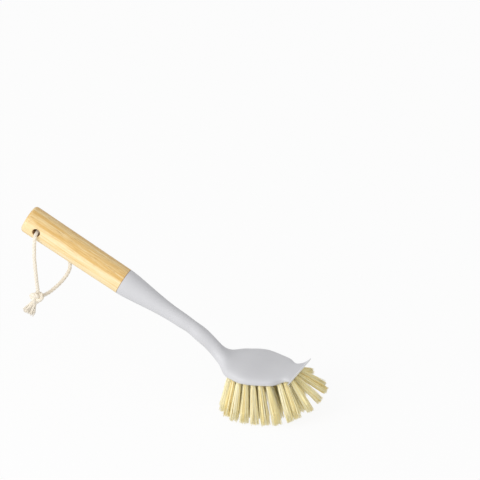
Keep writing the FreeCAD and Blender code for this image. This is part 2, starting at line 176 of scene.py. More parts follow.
@dataclass(frozen=True)
class Bamboo:
    """Turned bamboo, sanded and clear sealed: short honey streaks, a soft sheen, dotted end grain."""

    pale: str = "FAE6C4"
    honey: str = "F2DAA6"
    streak: str = "DEB46A"
    dark: str = "93622A"
    band_mm: float = 6.0
    streak_mm: float = 1.1
    fleck_mm: float = 0.55
    fibre_mm: float = 0.4
    dot_mm: float = 1.0
    band_stretch: float = 0.03
    streak_stretch: float = 0.05
    fleck_stretch: float = 0.09
    seam_line_mm: float = 0.6
    hole_mm: tuple[float, float] = (3.0, 4.2)
    # Heights of the darker strip: the lamination's streaks and painted shade of the upper side
    band_and_shade_mm: tuple[float, float] = (-1.0, -6.5)
    # Heights of the painted shade along the handle's lower edge
    lower_shade_mm: tuple[float, float] = (6.5, 12.0)
    cut_mm: float = 0.5
    streak_share: float = 0.55
    band_and_shade_tone: float = 0.13
    lower_shade_tone: float = 0.14
    stops: tuple[float, float, float] = (0.34, 0.52, 0.7)
    fleck_from: tuple[float, float] = (0.55, 0.72)
    fleck_in_strip: float = 0.5
    fleck_elsewhere: float = 0.08
    dot_from: tuple[float, float] = (0.4, 0.15)
    seam_dark: float = 0.75
    # How dark the hole's wall is painted, for bare end grain and shade inside the hole
    hole_grain_and_shade_dark: float = 0.85
    dot_dark: float = 0.6
    roughness: float = 0.42
    coat: float = 0.12
    coat_roughness: float = 0.3
    relief: float = 0.12
    relief_mm: float = 0.1

    def build(self, seam: Vector, rise: float, length: float, hole: Vector) -> bpy.types.Material:
        """Make the material with its grain along the handle.

        Args:
            seam: Middle of the seam with the moulding.
            rise: Angle of the handle above the ground, in radians.
            length: Handle length.
            hole: Middle of the cord hole.

        Returns:
            The material.
        """
        material, tree, shader = new_material("bamboo_sanded_and_sealed")
        turn = Euler((0, math.pi - rise, 0))
        along = add_node(
            tree,
            "ShaderNodeMapping",
            {"Rotation": turn, "Location": -(turn.to_matrix() @ seam)},
            {"Vector": add_node(tree, "ShaderNodeTexCoord").outputs["Object"]},
        ).outputs["Vector"]
        parts = add_node(tree, "ShaderNodeSeparateXYZ", links={0: along})
        bands = self.noise(tree, along, self.band_stretch, self.band_mm, 2, 0.5)
        streaks = self.noise(tree, along, self.streak_stretch, self.streak_mm, 4, 0.6)
        flecks = self.noise(tree, along, self.fleck_stretch, self.fleck_mm, 3, 0.6)
        fibres = self.noise(tree, along, self.streak_stretch, self.fibre_mm, 2, 0.5)

        # Above the handle's middle lies a darker strip, partly the lamination's own streaks and partly painted
        # shade for the upper side, which gets less light; the lower edge is darker by painted shade where the
        # light falls off.
        down = parts.outputs["Z"]
        band_and_shade = self.share(tree, down, self.band_and_shade_mm[0] * MM, self.band_and_shade_mm[1] * MM)
        # Painted shade along the lower edge, where the light falls off
        low = self.share(tree, down, self.lower_shade_mm[0] * MM, self.lower_shade_mm[1] * MM)
        toned = add_node(tree, "ShaderNodeMix", {"Factor": self.streak_share}, {"A": bands, "B": streaks})
        lifted = self.math(tree, "MULTIPLY_ADD", band_and_shade, self.band_and_shade_tone, toned.outputs["Result"])
        lifted = self.math(tree, "MULTIPLY_ADD", low, self.lower_shade_tone, lifted)
        colours = add_node(tree, "ShaderNodeValToRGB", links={"Fac": lifted})
        set_ramp(colours, self.stops, (self.pale, self.honey, self.streak))
        fine = self.share(tree, flecks, *self.fleck_from)
        amount = self.math(tree, "MULTIPLY_ADD", band_and_shade, self.fleck_in_strip, self.fleck_elsewhere)
        fine = self.math(tree, "MULTIPLY", fine, amount)
        colour = self.darkened(tree, colours.outputs["Color"], fine)
        # Glue and shade gather in the seam.
        line = self.share(tree, parts.outputs["X"], self.seam_line_mm * MM, 0.3 * self.seam_line_mm * MM)
        colour = self.darkened(tree, colour, self.math(tree, "MULTIPLY", line, self.seam_dark))
        # The hole's wall is darker: partly bare end grain, partly painted shade inside the hole.
        middle = turn.to_matrix() @ (hole - seam)
        from_hole = add_node(tree, "ShaderNodeVectorMath", {1: middle}, {0: along}, operation="SUBTRACT")
        offset = from_hole.outputs["Vector"]
        level = add_node(tree, "ShaderNodeVectorMath", {1: (1, 0, 1)}, {0: offset}, operation="MULTIPLY")
        away = add_node(tree, "ShaderNodeVectorMath", links={0: level.outputs["Vector"]}, operation="LENGTH")
        hole_grain_and_shade = self.share(tree, away.outputs["Value"], self.hole_mm[1] * MM, self.hole_mm[0] * MM)
        colour = self.darkened(tree, colour, self.math(tree, "MULTIPLY", hole_grain_and_shade, self.hole_grain_and_shade_dark))
        dots = add_node(
            tree, "ShaderNodeTexVoronoi", {"Scale": 1 / (self.dot_mm * MM)}, {"Vector": along}
        ).outputs["Distance"]
        cut = self.share(tree, parts.outputs["X"], length - self.cut_mm * MM, length)
        dotted = self.math(tree, "MULTIPLY", self.share(tree, dots, *self.dot_from), cut)
        colour = self.darkened(tree, colour, self.math(tree, "MULTIPLY", dotted, self.dot_dark))
        tree.links.new(colour, shader.inputs["Base Color"])
        shader.inputs["Roughness"].default_value = self.roughness
        shader.inputs["Coat Weight"].default_value = self.coat
        shader.inputs["Coat Roughness"].default_value = self.coat_roughness
        add_relief(tree, shader, fibres, self.relief, self.relief_mm)
        return material

    def darkened(self, tree: NodeTree, colour: Socket, amount: Socket) -> Socket:
        """Mix the darkest bamboo colour into a colour by an amount."""
        mixed = add_node(
            tree, "ShaderNodeMix", {"B": linear(self.dark)}, {"Factor": amount, "A": colour}, data_type="RGBA"
        )
        return mixed.outputs["Result"]

    @staticmethod
    def math(tree: NodeTree, operation: str, first: Socket, *others: Socket | float) -> Socket:
        """Add a sum of sockets and numbers."""
        node = add_node(tree, "ShaderNodeMath", links={0: first}, operation=operation)
        for place, other in enumerate(others, 1):
            if isinstance(other, float):
                node.inputs[place].default_value = other
            else:
                tree.links.new(other, node.inputs[place])
        return node.outputs["Value"]

    @staticmethod
    def share(tree: NodeTree, value: Socket, none: float, full: float) -> Socket:
        """Add a smooth share that is 0 at one value and 1 at another."""
        node = add_node(
            tree,
            "ShaderNodeMapRange",
            {"From Min": none, "From Max": full},
            {"Value": value},
            interpolation_type="SMOOTHSTEP",
        )
        return node.outputs["Result"]

    @staticmethod
    def noise(
        tree: NodeTree, along: Socket, stretch: float, size_mm: float, detail: float, rough: float
    ) -> Socket:
        """Add a noise whose cells have a real width and are drawn out along the handle.

        Args:
            tree: Tree that takes the node.
            along: Place measured along the handle.
            stretch: Width of a cell over its length.
            size_mm: Width of a cell.
            detail: Octaves of finer detail.
            rough: Strength of the finer octaves.

        Returns:
            The noise.
        """
        grain = add_node(tree, "ShaderNodeMapping", {"Scale": (stretch, 1, 1)}, {"Vector": along})
        node = add_node(
            tree,
            "ShaderNodeTexNoise",
            {"Scale": 1 / (size_mm * MM), "Detail": detail, "Roughness": rough},
            {"Vector": grain.outputs["Vector"]},
        )
        return node.outputs["Fac"]


@dataclass(frozen=True)
class GreyPlastic:
    """Injection moulded polypropylene, light grey: an even satin skin with a fine spark-eroded grain."""

    colour: str = "D1D1D4"
    shade: str = "CACACD"
    thin: str = "F0F0F2"
    # Colour of the painted highlight along the thin scraping edge
    grain_mm: float = 0.5
    cloud_mm: float = 18.0
    edge_highlight_mm: tuple[float, float] = (0.5, 0.1)
    roughness: float = 0.46
    smoother: float = 0.05
    rougher: float = 0.07
    relief: float = 0.08
    relief_mm: float = 0.05
    refraction: float = 1.49

    def build(self, edge: Vector) -> bpy.types.Material:
        """Make the material, with a painted highlight along the thin scraping edge that stands in for light
        passing through it.

        Args:
            edge: Middle of the scraping edge.

        Returns:
            The material.
        """
        material, tree, shader = new_material("polypropylene_grey_moulded")
        place = add_node(tree, "ShaderNodeTexCoord").outputs["Object"]
        parts = add_node(tree, "ShaderNodeSeparateXYZ", links={0: place})
        # Painted highlight: the plastic turns paler towards the scraping edge, standing in for light through the
        # thin lip
        thin = add_node(
            tree,
            "ShaderNodeMapRange",
            {"From Min": edge.x - self.edge_highlight_mm[0] * MM, "From Max": edge.x - self.edge_highlight_mm[1] * MM},
            {"Value": parts.outputs["X"]},
        )
        cloud = add_node(
            tree, "ShaderNodeTexNoise", {"Scale": 1 / (self.cloud_mm * MM), "Detail": 2}, {"Vector": place}
        )
        colour = add_node(
            tree,
            "ShaderNodeMix",
            {"A": linear(self.colour), "B": linear(self.shade)},
            {"Factor": cloud.outputs["Fac"]},
            data_type="RGBA",
        )
        edge_highlighted = add_node(
            tree,
            "ShaderNodeMix",
            {"B": linear(self.thin)},
            {"Factor": thin.outputs["Result"], "A": colour.outputs["Result"]},
            data_type="RGBA",
        )
        tree.links.new(edge_highlighted.outputs["Result"], shader.inputs["Base Color"])
        grain = add_node(
            tree, "ShaderNodeTexNoise", {"Scale": 1 / (self.grain_mm * MM), "Detail": 1}, {"Vector": place}
        )
        polish = add_node(
            tree,
            "ShaderNodeMapRange",
            {"To Min": self.roughness - self.smoother, "To Max": self.roughness + self.rougher},
            {"Value": cloud.outputs["Fac"]},
        )
        tree.links.new(polish.outputs["Result"], shader.inputs["Roughness"])
        add_relief(tree, shader, grain.outputs["Fac"], self.relief, self.relief_mm)
        shader.inputs["IOR"].default_value = self.refraction
        return material


@dataclass(frozen=True)
class PlantFibre:
    """Dried agave fibre, undyed: straw colours that differ from stalk to stalk, with a dry waxy gloss."""

    pale: str = "FEF8DC"
    straw: str = "FDF1BA"
    deep: str = "F0D485"
    blotch_mm: float = 3.0
    blotch_share: float = 0.3
    stops: tuple[float, float, float] = (0.1, 0.45, 0.85)
    roughness: float = 0.5
    gloss: float = 0.35

    def build(self) -> bpy.types.Material:
        """Make the material, which reads each stalk's own tone."""
        material, tree, shader = new_material("agave_fibre_dried")
        tone = add_node(tree, "ShaderNodeAttribute", attribute_name="tone")
        place = add_node(tree, "ShaderNodeTexCoord").outputs["Object"]
        blotch = add_node(
            tree, "ShaderNodeTexNoise", {"Scale": 1 / (self.blotch_mm * MM), "Detail": 2}, {"Vector": place}
        )
        mixed = add_node(
            tree,
            "ShaderNodeMix",
            {"Factor": self.blotch_share},
            {"A": tone.outputs["Fac"], "B": blotch.outputs["Fac"]},
        )
        colours = add_node(tree, "ShaderNodeValToRGB", links={"Fac": mixed.outputs["Result"]})
        set_ramp(colours, self.stops, (self.deep, self.straw, self.pale))
        tree.links.new(colours.outputs["Color"], shader.inputs["Base Color"])
        shader.inputs["Roughness"].default_value = self.roughness
        shader.inputs["Specular IOR Level"].default_value = self.gloss
        return material


@dataclass(frozen=True)
class Cotton:
    """Undyed cotton yarn, twisted: cream with painted shade in the valleys between the yarns and a soft fuzz."""

    cream: str = "F7F0E3"
    shade: str = "E5DAC6"
    yarns: float = 5.0
    yarn_lay_mm: float = 5.0
    fuzz_mm: float = 0.6
    fuzz_roughness: float = 0.7
    fuzz_share: float = 0.45
    roughness: float = 0.85
    sheen: float = 0.25
    sheen_roughness: float = 0.5
    relief: float = 0.35
    relief_mm: float = 0.1

    def build(self) -> bpy.types.Material:
        """Make the material, whose yarns follow the piece's own map."""
        material, tree, shader = new_material("cotton_cord_undyed")
        lay = add_node(tree, "ShaderNodeUVMap", uv_map="lay").outputs["UV"]
        parts = add_node(tree, "ShaderNodeSeparateXYZ", links={0: lay})
        turns = add_node(
            tree, "ShaderNodeMath", {1: self.yarns}, {0: parts.outputs["X"]}, operation="MULTIPLY"
        )
        slanted = add_node(
            tree,
            "ShaderNodeMath",
            {1: 1 / (self.yarn_lay_mm * MM)},
            {0: parts.outputs["Y"], 2: turns.outputs["Value"]},
            operation="MULTIPLY_ADD",
        )
        wave = add_node(tree, "ShaderNodeMath", {1: 1.0}, {0: slanted.outputs["Value"]}, operation="PINGPONG")
        place = add_node(tree, "ShaderNodeTexCoord").outputs["Object"]
        fuzz = add_node(
            tree,
            "ShaderNodeTexNoise",
            {"Scale": 1 / (self.fuzz_mm * MM), "Detail": 3, "Roughness": self.fuzz_roughness},
            {"Vector": place},
        )
        mixed = add_node(
            tree,
            "ShaderNodeMix",
            {"Factor": self.fuzz_share},
            {"A": wave.outputs["Value"], "B": fuzz.outputs["Fac"]},
        )
        # Painted shade: the valleys between the yarns, mixed with random fuzz, take the darker colour
        colour = add_node(
            tree,
            "ShaderNodeMix",
            {"A": linear(self.shade), "B": linear(self.cream)},
            {"Factor": mixed.outputs["Result"]},
            data_type="RGBA",
        )
        tree.links.new(colour.outputs["Result"], shader.inputs["Base Color"])
        shader.inputs["Roughness"].default_value = self.roughness
        shader.inputs["Sheen Weight"].default_value = self.sheen
        shader.inputs["Sheen Roughness"].default_value = self.sheen_roughness
        add_relief(tree, shader, mixed.outputs["Result"], self.relief, self.relief_mm)
        return material


@dataclass(frozen=True)
class FlatWire:
    """Drawn flat steel wire: grey metal with a slightly uneven polish."""

    colour: str = "B4B4B6"
    patch_mm: float = 0.2
    roughness: float = 0.35
    uneven: float = 0.1

    def build(self) -> bpy.types.Material:
        """Make the material."""
        material, tree, shader = new_material("steel_wire_drawn_flat")
        place = add_node(tree, "ShaderNodeTexCoord").outputs["Object"]
        patches = add_node(
            tree, "ShaderNodeTexNoise", {"Scale": 1 / (self.patch_mm * MM), "Detail": 2}, {"Vector": place}
        )
        polish = add_node(
            tree,
            "ShaderNodeMapRange",
            {"To Min": self.roughness - self.uneven, "To Max": self.roughness + self.uneven},
            {"Value": patches.outputs["Fac"]},
        )
        tree.links.new(polish.outputs["Result"], shader.inputs["Roughness"])
        shader.inputs["Base Color"].default_value = linear(self.colour)
        shader.inputs["Metallic"].default_value = 1.0
        return material


def deselect_all() -> None:
    """Leave edit mode and clear the selection, which holds the CAD nodes after loading."""
    if bpy.context.object and bpy.context.object.mode != "OBJECT":
        bpy.ops.object.mode_set(mode="OBJECT")
    bpy.ops.object.select_all(action="DESELECT")


def make_active(piece: bpy.types.Object) -> None:
    """Select one object alone and make it the active one."""
    deselect_all()
    piece.select_set(True)
    bpy.context.view_layer.objects.active = piece


def link_mesh(name: str, mesh: bpy.types.Mesh) -> bpy.types.Object:
    """Put a mesh into the scene as an object at the origin.

    Args:
        name: Name of the piece.
        mesh: Its mesh, in the part's frame.

    Returns:
        The new object.
    """
    piece = bpy.data.objects.new(name, mesh)
    bpy.context.scene.collection.objects.link(piece)
    return piece


def smooth_copy(node: str, name: str, angle: float) -> bpy.types.Object:
    """Copy a CAD node as one merged skin with smooth shading.

    Args:
        node: The CAD node.
        name: Name of the new piece.
        angle: Largest angle between faces that is still shaded smooth, in radians.

    Returns:
        The new piece.
    """
    piece = link_mesh(name, frame["nodes"][node].data.copy())
    make_active(piece)
    bpy.ops.object.mode_set(mode="EDIT")
    bpy.ops.mesh.select_all(action="SELECT")
    bpy.ops.mesh.customdata_custom_splitnormals_clear()
    bpy.ops.mesh.remove_doubles(threshold=1e-3 * MM)
    bpy.ops.object.mode_set(mode="OBJECT")
    bpy.ops.object.shade_smooth_by_angle(angle=angle)
    piece.data.materials.clear()
    return piece


def settle(
    piece: bpy.types.Object, body: Body, slot: Slot, material: bpy.types.Material, *nodes: str
) -> None:
    """Dress a finished piece, put it on its body and let it stand for its CAD nodes.

    Args:
        piece: The piece.
        body: Body that it moves with.
        slot: Material slot of the record. Not used.
        material: Its material.
        nodes: CAD nodes that it replaces.
    """
    piece.data.materials.clear()
    piece.data.materials.append(material)
    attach(piece, body.value)
    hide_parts(*nodes)
    LOG.info("%s: %d faces on %s", piece.name, len(piece.data.polygons), body.value)


@dataclass
class Handle:
    """Bamboo handle with its cord hole."""

    seam: Vector
    hole: Vector
    rise: float = math.radians(26)
    length: float = 97.4 * MM
    smooth_angle: float = math.radians(28)
    finish: Bamboo = Bamboo()

    def build(self) -> None:
        """Copy the turned solid as one skin and dress it."""
        piece = smooth_copy("bamboo_handle", "handle_turned", self.smooth_angle)
        material = self.finish.build(self.seam, self.rise, self.length, self.hole)
        settle(piece, Body.BRUSH, Slot.BAMBOO, material, "bamboo_handle")


@dataclass
class Moulding:
    """Moulded neck, head and lip, and the wire anchors inside the head."""

    edge: Vector
    seam: Vector
    down: Vector
    thick: float = 11.6 * MM
    thin: float = 6.2 * MM
    taper: float = 66.0 * MM
    taper_start: float = 1.5
    taper_end: float = 2.6
    straight: float = 66.0 * MM
    fade: float = 16.0 * MM
    smooth_angle: float = math.radians(32)
    finish: GreyPlastic = GreyPlastic()
    wire: FlatWire = FlatWire()

    def neck_radius(self, along: float) -> float:
        """Radius of the neck, which tapers down from the handle.

        Args:
            along: Distance from the seam.

        Returns:
            The radius there.
        """
        share = min(1.0, along / self.taper)
        return self.thin + (self.thick - self.thin) * (1 - share**self.taper_start) ** self.taper_end

    def even_out(self, piece: bpy.types.Object) -> None:
        """Draw the straight neck's skin to its even taper, so that no ripple shows on it.

        Args:
            piece: The moulding.
        """
        for point in piece.data.vertices:
            reach = point.co - self.seam
            along = reach.dot(self.down)
            out = reach - self.down * along
            if 0 < along < self.straight and out.length < 2 * self.thick:
                pull = min(1.0, (self.straight - along) / self.fade)
                point.co += out * (self.neck_radius(along) / out.length - 1) * pull

    def build(self) -> None:
        """Copy the moulded solid as one skin, dress it and dress the anchors."""
        piece = smooth_copy("brush_body", "head_and_neck_moulding", self.smooth_angle)
        self.even_out(piece)
        settle(piece, Body.BRUSH, Slot.PLASTIC, self.finish.build(self.edge), "brush_body")
        anchors = frame["nodes"]["tuft_anchors"].data
        anchors.materials.clear()
        anchors.materials.append(self.wire.build())


@dataclass
class Stalk:
    """One straight fibre of unit length and unit radius along +Z, modelled once and copied."""

    sides: int = 5
    cuts: int = 3
    tip: float = 0.6

    def model(self) -> tuple[np.ndarray, list[tuple[int, ...]]]:
        """Model the fibre from a cylinder with cuts across and a narrowed tip.

        Returns:
            Its points and its faces.
        """
        deselect_all()
        bpy.ops.mesh.primitive_cylinder_add(vertices=self.sides, radius=1, depth=1, location=(0, 0, 0.5))
        stalk = bpy.context.object
        bpy.ops.object.transform_apply(location=True)
        bpy.context.tool_settings.mesh_select_mode = (False, True, False)
        bpy.ops.object.mode_set(mode="EDIT")
        bpy.ops.mesh.select_all(action="DESELECT")
        bpy.ops.object.mode_set(mode="OBJECT")
        points = stalk.data.vertices
        for edge in stalk.data.edges:
            first, second = edge.vertices
            edge.select = abs(points[first].co.z - points[second].co.z) > 0.5
        bpy.ops.object.mode_set(mode="EDIT")
        bpy.ops.mesh.subdivide(number_cuts=self.cuts)
        bpy.ops.mesh.select_all(action="DESELECT")
        bpy.context.tool_settings.mesh_select_mode = (True, False, False)
        bpy.ops.object.mode_set(mode="OBJECT")
        for point in stalk.data.vertices:
            point.select = point.co.z > 0.99
        bpy.ops.object.mode_set(mode="EDIT")
        bpy.ops.transform.resize(value=(self.tip, self.tip, 1), center_override=(0, 0, 1))
        bpy.ops.object.mode_set(mode="OBJECT")
        shape = np.array([point.co for point in stalk.data.vertices])
        faces = [tuple(face.vertices) for face in stalk.data.polygons]
        bpy.data.objects.remove(stalk)
        return shape, faces


def perpendiculars(axes: np.ndarray) -> tuple[np.ndarray, np.ndarray]:
    """Two unit vectors square to each axis and to each other.

    Args:
        axes: Unit vectors, one a row.

    Returns:
        The two sets of vectors, one a row.
    """
    helper = np.where(np.abs(axes[:, :1]) < 0.8, [[1.0, 0.0, 0.0]], [[0.0, 1.0, 0.0]])
    first = np.cross(axes, helper)
    first /= np.linalg.norm(first, axis=1, keepdims=True)
    return first, np.cross(axes, first)


@dataclass
class Bundle:
    """Many copies of one stalk, each with its own foot, tip, bow, thickness and tone."""

    shape: np.ndarray
    faces: list[tuple[int, ...]]

    def mesh(
        self,
        name: str,
        feet: np.ndarray,
        tips: np.ndarray,
        bows: np.ndarray,
        radii: np.ndarray,
        tones: np.ndarray,
    ) -> bpy.types.Mesh:
        """Copy the stalk to every place.

        Args:
            name: Name of the mesh.
            feet: Foot of each stalk.
            tips: Tip of each stalk.
            bows: Offset of each stalk's middle from the straight line.
            radii: Radius of each stalk.
            tones: Tone of each stalk, from 0 to 1.

        Returns:
            The mesh, with an attribute that holds the tones.
        """
        spans = tips - feet
        axes = spans / np.linalg.norm(spans, axis=1, keepdims=True)
        first, second = perpendiculars(axes)
        up = self.shape[:, 2]
        middle = feet[:, None] + spans[:, None] * up[None, :, None]
        middle = middle + bows[:, None] * (4 * up * (1 - up))[None, :, None]
        out = self.shape[None, :, :1] * first[:, None] + self.shape[None, :, 1:2] * second[:, None]
        points = (middle + out * radii[:, None, None]).reshape(-1, 3)
        count = len(self.shape)
        faces = [tuple(i + copy * count for i in face) for copy in range(len(feet)) for face in self.faces]
        made = bpy.data.meshes.new(name)
        made.from_pydata(points.tolist(), [], faces)
        made.shade_smooth()
        tone = made.attributes.new("tone", "FLOAT", "POINT")
        tone.data.foreach_set("value", np.repeat(tones, count).astype(np.float32))
        return made


@dataclass
class Tufts:
    """All the fibre tufts, each a bundle of stalks in the place of its CAD solid."""

    stalks: int = 96
    stalk_radius: float = 0.29 * MM
    foot_radius: float = 1.7 * MM
    foot_sunk: float = 1.2 * MM
    uneven: float = 0.8 * MM
    longest: float = 0.6 * MM
    splay: float = 0.4 * MM
    bow: float = 0.28 * MM
    outward_bow: float = 0.2 * MM
    ground_gap: float = 0.15 * MM
    trimmed: float = 0.3 * MM
    thickness: tuple[float, float] = (0.75, 1.15)
    tuft_tone: tuple[float, float] = (0.42, 0.68)
    stalk_tone: float = 0.22
    lock_tone: float = 0.14
    locks: int = 3
    seed: int = 4107
    finish: PlantFibre = PlantFibre()

    # Spread of the tips in each row: the rows inside are looser and fill the gaps of the outer one
    TIP_RADIUS = {"front": 2.9 * MM, "outer": 3.8 * MM, "inner": 5.0 * MM, "middle": 5.2 * MM}

    def build(self) -> None:
        """Build every tuft and let it stand for its node."""
        bundle = Bundle(*Stalk().model())
        material = self.finish.build()
        names = sorted(name for name in frame["nodes"] if "_tuft_" in name)
        for index, node in enumerate(names):
            draw = np.random.default_rng(self.seed + index)
            piece = link_mesh(f"{node}_fibres", self.tuft(node, bundle, draw))
            settle(piece, Body.BRUSH, Slot.FIBRE, material, node)

    @staticmethod
    def axis(node: str) -> tuple[np.ndarray, np.ndarray]:
        """Find the two ends of a tuft's axis from its solid.

        Args:
            node: The tuft's CAD node.

        Returns:
            Middle of the root end and middle of the tip end.
        """
        points = np.array([point.co for point in frame["nodes"][node].data.vertices])
        centre = points.mean(axis=0)
        way = np.linalg.svd(points - centre, full_matrices=False)[2][0]
        way = way if way[2] < 0 else -way
        reach = (points - centre) @ way
        return centre + way * reach.min(), centre + way * reach.max()

    def tuft(self, node: str, bundle: Bundle, draw: np.random.Generator) -> bpy.types.Mesh:
        """Lay out the stalks of one tuft.

        Args:
            node: The tuft's CAD node.
            bundle: The stalk to copy.
            draw: The tuft's own seeded draws.

        Returns:
            The tuft's mesh.
        """
        root, tip = self.axis(node)
        way = (tip - root) / np.linalg.norm(tip - root)
        first, second = [vector[0] for vector in perpendiculars(way[None])]
        order = np.arange(self.stalks)
        spread = np.sqrt((order + 0.5) / self.stalks)
        turn = order * EVEN_TURN + draw.uniform(0, 2 * math.pi)
        out = np.cos(turn)[:, None] * first + np.sin(turn)[:, None] * second
        feet = root + way * self.foot_sunk + out * (spread * self.foot_radius)[:, None]
        uneven = np.minimum(draw.normal(-self.trimmed, self.uneven, self.stalks), self.longest)
        stray = draw.normal(0, self.splay, (self.stalks, 3))
        tip_radius = self.TIP_RADIUS[node.split("_")[0]]
        tips = tip + way * uneven[:, None] + out * (spread * tip_radius)[:, None] + stray
        low = np.clip((feet[:, 2] - self.ground_gap) / (feet[:, 2] - tips[:, 2]), 0, 1)
        tips = feet + (tips - feet) * low[:, None]
        bows = draw.normal(0, self.bow, (self.stalks, 3)) + out * (spread * self.outward_bow)[:, None]
        radii = self.stalk_radius * draw.uniform(*self.thickness, self.stalks)
        locks = self.lock_tone * np.sin(self.locks * turn + draw.uniform(0, 2 * math.pi))
        tones = locks + draw.normal(draw.uniform(*self.tuft_tone), self.stalk_tone, self.stalks)
        tones = np.clip(tones, 0, 1)
        return bundle.mesh(f"{node}_fibres", feet, tips, bows, radii, tones)


def smooth_line(name: str, route: list[Vector], steps: int, closed: bool) -> np.ndarray:
    """Points along the smooth line that a route controls.

    Args:
        name: Name for the line.
        route: Control points.
        steps: Points on the line for each control point.
        closed: Whether the line joins its own start.

    Returns:
        The points, one a row.
    """
    curve = bpy.data.curves.new(name, "CURVE")
    curve.dimensions = "3D"
    curve.resolution_u = steps
    spline = curve.splines.new("NURBS")
    spline.points.add(len(route) - 1)
    for point, place in zip(spline.points, route):
        point.co = (*place, 1)
    spline.use_cyclic_u = closed
    spline.order_u = 3
    spline.use_endpoint_u = not closed
    holder = bpy.data.objects.new(name, curve)
    bpy.context.scene.collection.objects.link(holder)
    bpy.context.view_layer.update()
    mesh = bpy.data.meshes.new_from_object(holder)
    line = np.array([point.co for point in mesh.vertices])
    bpy.data.meshes.remove(mesh)
    bpy.data.objects.remove(holder)
    bpy.data.curves.remove(curve)
    return line


@dataclass
class Line:
    """A line of points with a frame at each one that turns as little as it can."""

    points: np.ndarray
    closed: bool = False

    def __post_init__(self) -> None:
        """Work out the distances and the frames."""
        if self.closed:
            ahead = np.roll(self.points, -1, axis=0) - np.roll(self.points, 1, axis=0)
        else:
            ahead = np.gradient(self.points, axis=0)
        self.tangents = ahead / np.linalg.norm(ahead, axis=1, keepdims=True)
        gaps = np.linalg.norm(np.diff(self.points, axis=0), axis=1)
        self.distance = np.concatenate([[0.0], np.cumsum(gaps)])
        self.length = self.distance[-1]
        normal = perpendiculars(self.tangents[:1])[0][0]
        normals = []
        for tangent in self.tangents:
            normal = normal - tangent * (normal @ tangent)
            normal = normal / np.linalg.norm(normal)
            normals.append(normal)
        self.normals = np.array(normals)
        if self.closed:
            self.length += float(np.linalg.norm(self.points[0] - self.points[-1]))
            self.untwist()
        self.sides = np.cross(self.tangents, self.normals)

    def untwist(self) -> None:
        """Spread the turn that is left where a closed line meets its start."""
        last, start = self.normals[-1], self.tangents[0]
        carried = last - start * (last @ start)
        carried = carried / np.linalg.norm(carried)
        left = math.atan2(np.cross(carried, self.normals[0]) @ start, carried @ self.normals[0])
        angles = (left * self.distance / self.length)[:, None]
        sides = np.cross(self.tangents, self.normals)
        self.normals = self.normals * np.cos(angles) + sides * np.sin(angles)

    def around(self, radius: np.ndarray, angle: np.ndarray) -> np.ndarray:
        """Points at a distance and an angle from the line.

        Args:
            radius: Distance at each point.
            angle: Angle at each point.

        Returns:
            The points, one a row.
        """
        out = self.normals * np.cos(angle)[:, None] + self.sides * np.sin(angle)[:, None]
        return self.points + out * np.broadcast_to(radius, angle.shape)[:, None]


class Skin:
    """Points, faces and map of round tubes, gathered into one mesh."""

    def __init__(self) -> None:
        """Start with nothing."""
        self.points: list[list[float]] = []
        self.faces: list[list[int]] = []
        self.lay: list[tuple[float, float]] = []

    def tube(self, line: Line, radius: np.ndarray | float, sides: int) -> None:
        """Add a tube along a line, with its ends closed.

        Args:
            line: Its centre line.
            radius: Its radius, the same all along or one at each point.
            sides: Faces round it.
        """
        base = len(self.points)
        count = len(line.points)
        radius = np.broadcast_to(radius, (count,))
        for side in range(sides):
            angle = np.full(count, 2 * math.pi * side / sides)
            self.points.extend(line.around(radius, angle).tolist())
        distance = np.append(line.distance, line.length)
        for step in range(count if line.closed else count - 1):
            after = (step + 1) % count
            for side in range(sides):
                here, there = base + side * count, base + (side + 1) % sides * count
                self.faces.append([here + step, there + step, there + after, here + after])
                for turn, way in ((side, step), (side + 1, step), (side + 1, step + 1), (side, step + 1)):
                    self.lay.append((turn / sides, distance[way]))
        if not line.closed:
            rings = [[base + side * count for side in range(sides)]]
            rings.append([first + count - 1 for first in reversed(rings[0])])
            for ring in rings:
                self.faces.append(list(reversed(ring)))
                self.lay.extend([(0.0, 0.0)] * sides)

    def mesh(self, name: str) -> bpy.types.Mesh:
        """Make the mesh of all that was added.

        Args:
            name: Name of the mesh.

        Returns:
            The mesh, shaded smooth, with its map.
        """
        made = bpy.data.meshes.new(name)
        made.from_pydata(self.points, [], self.faces)
        layer = made.uv_layers.new(name="lay")
        layer.data.foreach_set("uv", np.array(self.lay, dtype=np.float32).ravel())
        made.shade_smooth()
        return made


@dataclass
class Rope:
    """Twisted cord of equal strands."""

    diameter: float = 3.3 * MM
    strands: int = 3
    pitch: float = 9.5 * MM
    strand_share: float = 0.29
    offset_share: float = 0.215
    sides: int = 8

    def lay(self, skin: Skin, line: Line, loosen: np.ndarray | float = 1.0) -> None:
        """Lay the strands along a line.

        Args:
            skin: Skin that takes them.
            line: Centre line of the cord.
            loosen: How far the strands stand off the middle, the same all along or one at each point.
        """
        turns = line.length / self.pitch
        turns = round(turns) if line.closed else turns
        twist = 2 * math.pi * turns * line.distance / line.length
        for strand in range(self.strands):
            angle = twist + 2 * math.pi * strand / self.strands
            offset = self.diameter * self.offset_share * np.broadcast_to(loosen, angle.shape)
            centre = Line(line.around(offset, angle), line.closed)
            skin.tube(centre, self.diameter * self.strand_share, self.sides)


